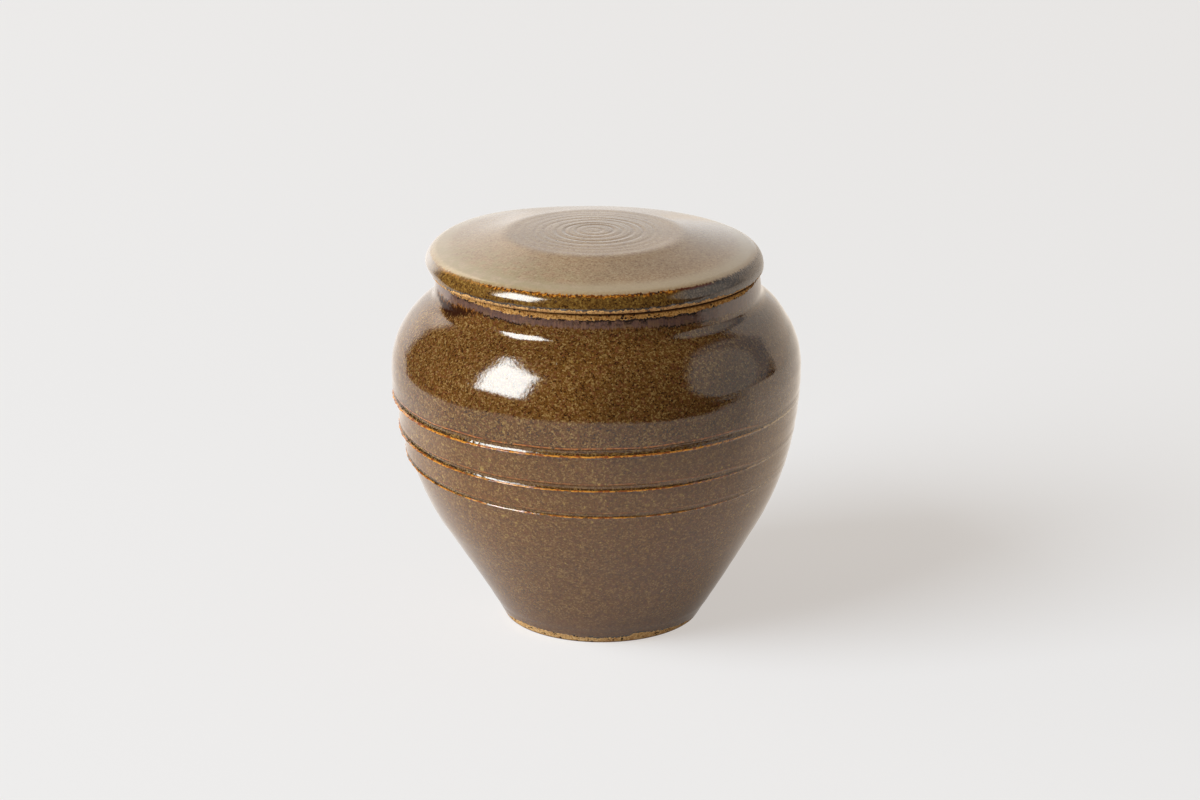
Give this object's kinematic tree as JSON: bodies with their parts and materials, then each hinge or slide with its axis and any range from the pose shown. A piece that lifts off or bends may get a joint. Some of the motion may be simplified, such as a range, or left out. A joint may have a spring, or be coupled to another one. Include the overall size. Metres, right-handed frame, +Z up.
{
  "type": "olive jar",
  "caption": "Small lidded stoneware jar for olives, with a round-shouldered body that tapers to a narrow foot, ridged grooves round the belly and a low flanged lid.",
  "frame": {"origin": "centre of the foot, on the surface that the jar stands on", "axes": "+Z up along the jar's axis, from the foot to the lid; the jar is round, so +X and +Y are free"},
  "size_m": [0.1302, 0.13, 0.1273],
  "materials": {
    "jar_glaze": "glossy speckled brown glaze, bare tan clay at foot and rim",
    "lid_glaze": "glossy speckled brown glaze, bare tan clay where it sits on the rim"
  },
  "bodies": {
    "jar": {"jar": "jar_glaze"},
    "lid": {"lid": "lid_glaze"}
  },
  "joints": [
    {"name": "lid_lift", "type": "slide", "parent": "jar", "child": "lid", "axis": [0, 0, 1], "range_m": [0, 0.1]}
  ]
}
